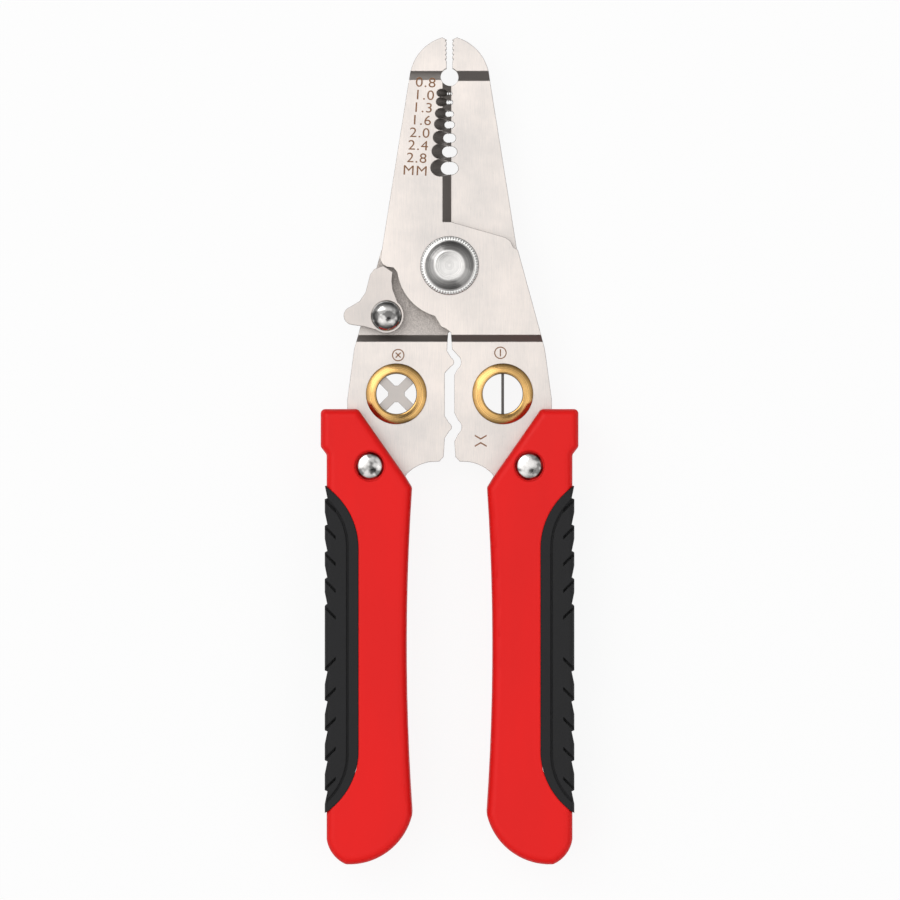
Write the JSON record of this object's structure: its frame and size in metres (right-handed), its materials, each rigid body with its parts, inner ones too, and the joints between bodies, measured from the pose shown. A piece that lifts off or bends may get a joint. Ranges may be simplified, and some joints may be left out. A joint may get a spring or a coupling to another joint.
{
  "type": "wire stripper",
  "caption": "Hand wire stripper with crossing stainless jaws, graded stripping notches, a thumb latch, brass-ringed twisting and splitting holes and red handles with black grips.",
  "frame": {"origin": "centre of the tool at the handles lowest face, the tool lying flat", "axes": "+Z along the pivot, up from the face it lies on; +Y towards the jaw tips; +X across the tool, towards the handle fixed to the front plate"},
  "size_m": [0.056, 0.18, 0.016],
  "materials": {
    "blade_steel": "brushed",
    "turned_steel": "turned",
    "plain_steel": "satin",
    "spring_steel": "satin",
    "latch_steel": "satin",
    "polished_steel": "polished",
    "brass": "polished",
    "red_plastic": "satin",
    "black_rubber": "matte"
  },
  "bodies": {
    "back_half": {"back_blade": "blade_steel", "pivot_bolt": "turned_steel", "pivot_collar": "turned_steel", "pivot_washer": "plain_steel", "pivot_nut": "plain_steel", "opening_spring": "spring_steel", "twist_ring_front": "brass", "twist_ring_back": "brass", "twist_cross": "plain_steel", "latch_washer": "plain_steel", "latch_rivet": "polished_steel", "left_handle_rivet": "polished_steel", "left_handle": "red_plastic", "left_grip": "black_rubber"},
    "front_half": {"front_blade": "blade_steel", "split_ring_front": "brass", "split_ring_back": "brass", "split_blade": "plain_steel", "right_handle": "red_plastic", "right_grip": "black_rubber", "right_handle_rivet": "polished_steel"},
    "latch_arm": {"latch": "latch_steel"}
  },
  "joints": [
    {"name": "main_pivot", "type": "hinge", "parent": "back_half", "child": "front_half", "pos_m": [0, 0.0402, 0.008], "axis": [0, 0, 1], "range_deg": [-1.3, 22]},
    {"name": "latch_hinge", "type": "hinge", "parent": "back_half", "child": "latch_arm", "pos_m": [-0.01376, 0.02927, 0.0103], "axis": [0, 0, 1], "range_deg": [-2.6, 44]}
  ],
  "couplings": [
    {"joint": "latch_hinge", "follows": "main_pivot", "ratio": 2}
  ]
}
